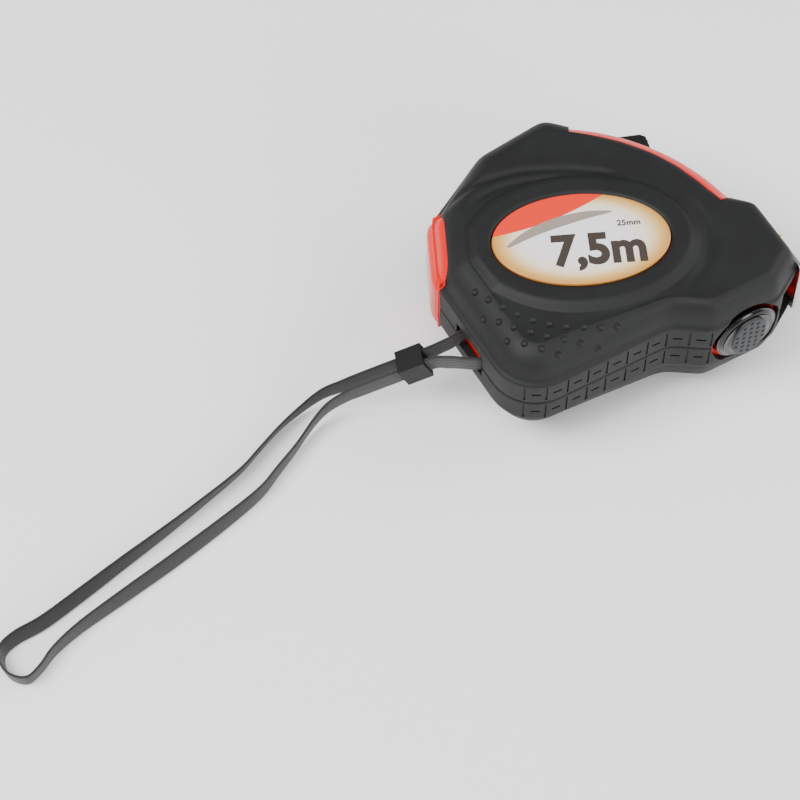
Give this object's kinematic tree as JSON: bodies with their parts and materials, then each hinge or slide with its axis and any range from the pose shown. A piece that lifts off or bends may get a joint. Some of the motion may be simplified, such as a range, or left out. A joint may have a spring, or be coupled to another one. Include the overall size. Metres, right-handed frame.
{
  "type": "tape measure",
  "caption": "Pocket tape measure with rubber-jacketed case, oval label, curved thumb lock, stop button, sliding end hook, belt clip and wrist strap.",
  "frame": {"origin": "on the reel axis, at the outer face of the belt clip's arm, on which the tape measure lies", "axes": "+Z out of the front label along the reel axis, +X towards the mouth and end hook, +Y towards the thumb lock"},
  "size_m": [0.2175, 0.0763, 0.0406],
  "materials": {
    "red_shell": "gloss",
    "rubber_jacket": "matte",
    "label": "gloss",
    "steel": "satin",
    "hook_steel": "satin",
    "rivet_steel": "polished",
    "screw_steel": "black oxide",
    "clip_steel": "nickel plated",
    "spring_steel": "blued",
    "drum_plastic": "matte",
    "washer_plastic": "matte",
    "tape_paint": "satin",
    "black_plastic": "matte",
    "button_plastic": "gloss",
    "grip_rubber": "matte",
    "brake_rubber": "matte",
    "strap_fabric": "woven"
  },
  "bodies": {
    "case": {"front_shell": "red_shell", "rear_shell": "red_shell", "front_jacket": "rubber_jacket", "rear_jacket": "rubber_jacket", "label_plate": "label", "reel_arbor": "steel", "reel_washers": "washer_plastic", "mouth_guide": "black_plastic", "hook_bumper": "brake_rubber", "case_screws": "screw_steel", "belt_clip": "clip_steel", "clip_screw": "screw_steel", "wrist_strap": "strap_fabric"},
    "reel": {"reel_drum": "drum_plastic", "power_spring": "spring_steel", "blade_coil": "tape_paint"},
    "blade": {"blade_end": "tape_paint", "hook_rivets": "rivet_steel"},
    "hook": {"end_hook": "hook_steel"},
    "lock": {"lock_slider": "black_plastic", "lock_tongue": "black_plastic", "lock_pad": "brake_rubber"},
    "button": {"stop_button": "button_plastic", "button_grip": "grip_rubber", "button_spring": "steel", "brake_pad": "brake_rubber"},
    "clasp": {"strap_clasp": "black_plastic"}
  },
  "joints": [
    {"name": "reel_spin", "type": "hinge", "parent": "case", "child": "reel", "pos_m": [0, 0, 0.0231], "axis": [0, 0, 1], "range_deg": [0, 95], "stiffness_Nm_per_rad": 0.01, "springref_deg": -114.59},
    {"name": "blade_slide", "type": "slide", "parent": "case", "child": "blade", "axis": [1, 0, 0], "range_m": [0, 0.041]},
    {"name": "hook_play", "type": "slide", "parent": "blade", "child": "hook", "axis": [1, 0, 0], "range_m": [0, 0.001]},
    {"name": "lock_slide", "type": "hinge", "parent": "case", "child": "lock", "pos_m": [-0.0146, -0.0155, 0.0231], "axis": [0, 0, 1], "range_deg": [-6, 0]},
    {"name": "button_press", "type": "slide", "parent": "case", "child": "button", "axis": [0, 1, 0], "range_m": [0, 0.002], "stiffness_N_per_m": 900, "springref_m": -0.003},
    {"name": "clasp_slide", "type": "slide", "parent": "case", "child": "clasp", "axis": [-0.848, 0.318, -0.424], "range_m": [0, 0.008]}
  ],
  "couplings": [
    {"joint": "blade_slide", "follows": "reel_spin", "m_per_rad": 0.0243}
  ]
}
